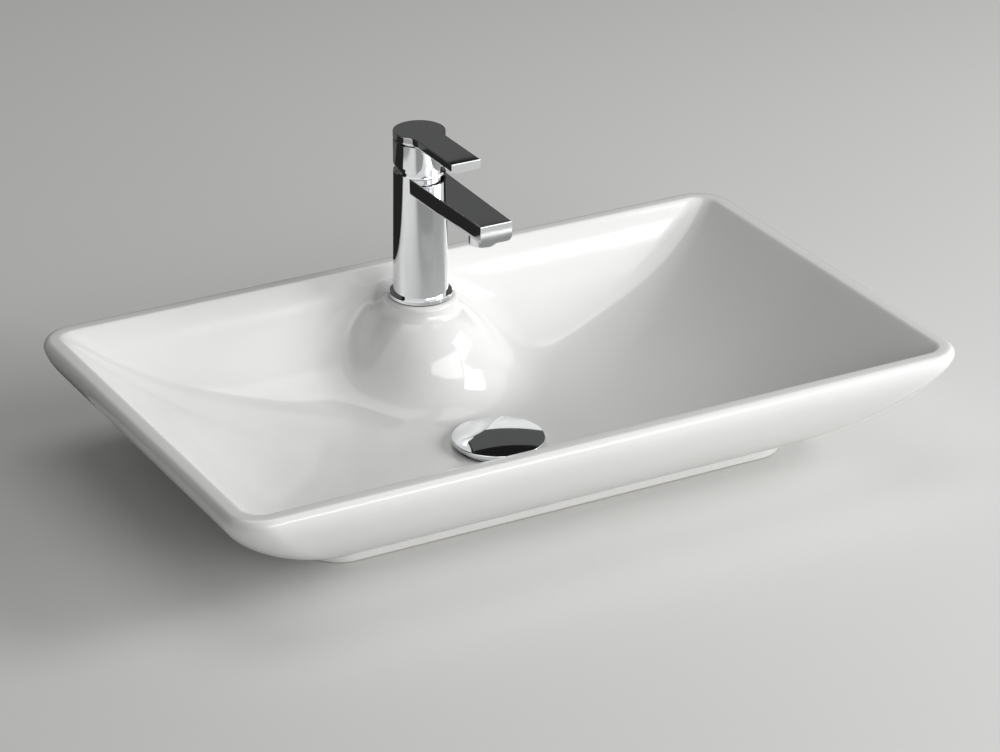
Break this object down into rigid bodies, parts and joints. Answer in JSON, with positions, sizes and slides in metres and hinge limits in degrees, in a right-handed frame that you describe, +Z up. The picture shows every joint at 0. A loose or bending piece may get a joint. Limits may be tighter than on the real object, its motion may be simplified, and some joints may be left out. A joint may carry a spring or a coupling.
{
  "type": "countertop basin",
  "caption": "Rectangular counter-standing wash basin with a sloped bowl, rear boss, single-lever mixer with flat straight spout and lever, and a round press-to-close waste.",
  "frame": {"origin": "on the axis of the waste, in the plane of the worktop that the foot rests on", "axes": "+X along the basin's length, to the user's right; -Y towards the user; +Z up. At rest the lever is down (closed) and points forwards, and the waste cover is pressed down."},
  "size_m": [0.6, 0.37, 0.283],
  "materials": {
    "white_ceramic": "gloss",
    "chrome": "polished",
    "brass": "turned",
    "rubber": "matte",
    "steel": "zinc plated",
    "plastic": "moulded",
    "disc_ceramic": "lapped"
  },
  "bodies": {
    "basin": {"basin_bowl": "white_ceramic", "waste_flange_seal": "rubber", "waste_body": "chrome", "waste_cone_seal": "rubber", "waste_slip_washer": "plastic", "waste_back_nut": "chrome", "click_housing": "brass", "click_spring": "steel", "base_seal": "rubber", "base_ring": "chrome", "tap_body": "chrome", "aerator_housing": "chrome", "aerator_insert": "plastic", "aerator_washer": "rubber", "port_seals": "rubber", "cartridge_base": "plastic", "fixed_disc": "disc_ceramic", "cartridge_shell": "plastic", "cartridge_nut": "brass", "shoulder_ring": "chrome", "fixing_stud": "steel", "clamp_seal": "rubber", "clamp_plate": "steel", "clamp_nut": "brass"},
    "lever_turn": {"cartridge_rotor": "plastic", "pivot_pin": "steel"},
    "lever_tilt": {"lever": "chrome", "lever_spindle": "brass", "grub_screw": "steel", "screw_plug": "chrome"},
    "disc_set": {"moving_disc": "disc_ceramic", "disc_carrier": "plastic"},
    "cover": {"waste_cover": "chrome", "waste_cover_seal": "rubber", "waste_plunger": "steel"}
  },
  "joints": [
    {"name": "lever_swivel", "type": "hinge", "parent": "basin", "child": "lever_turn", "pos_m": [0, 0.126, 0.196], "axis": [0, 0, 1], "range_deg": [-50, 50]},
    {"name": "lever_lift", "type": "hinge", "parent": "lever_turn", "child": "lever_tilt", "pos_m": [0, 0.126, 0.196], "axis": [-1, 0, 0], "range_deg": [0, 15]},
    {"name": "disc_slide", "type": "slide", "parent": "lever_turn", "child": "disc_set", "axis": [0, -1, 0], "range_m": [0, 0.0024]},
    {"name": "waste_cover_travel", "type": "slide", "parent": "basin", "child": "cover", "axis": [0, 0, 1], "range_m": [0, 0.008], "deforming": ["click_spring"]}
  ],
  "couplings": [
    {"joint": "disc_slide", "follows": "lever_lift", "m_per_rad": 0.009}
  ]
}
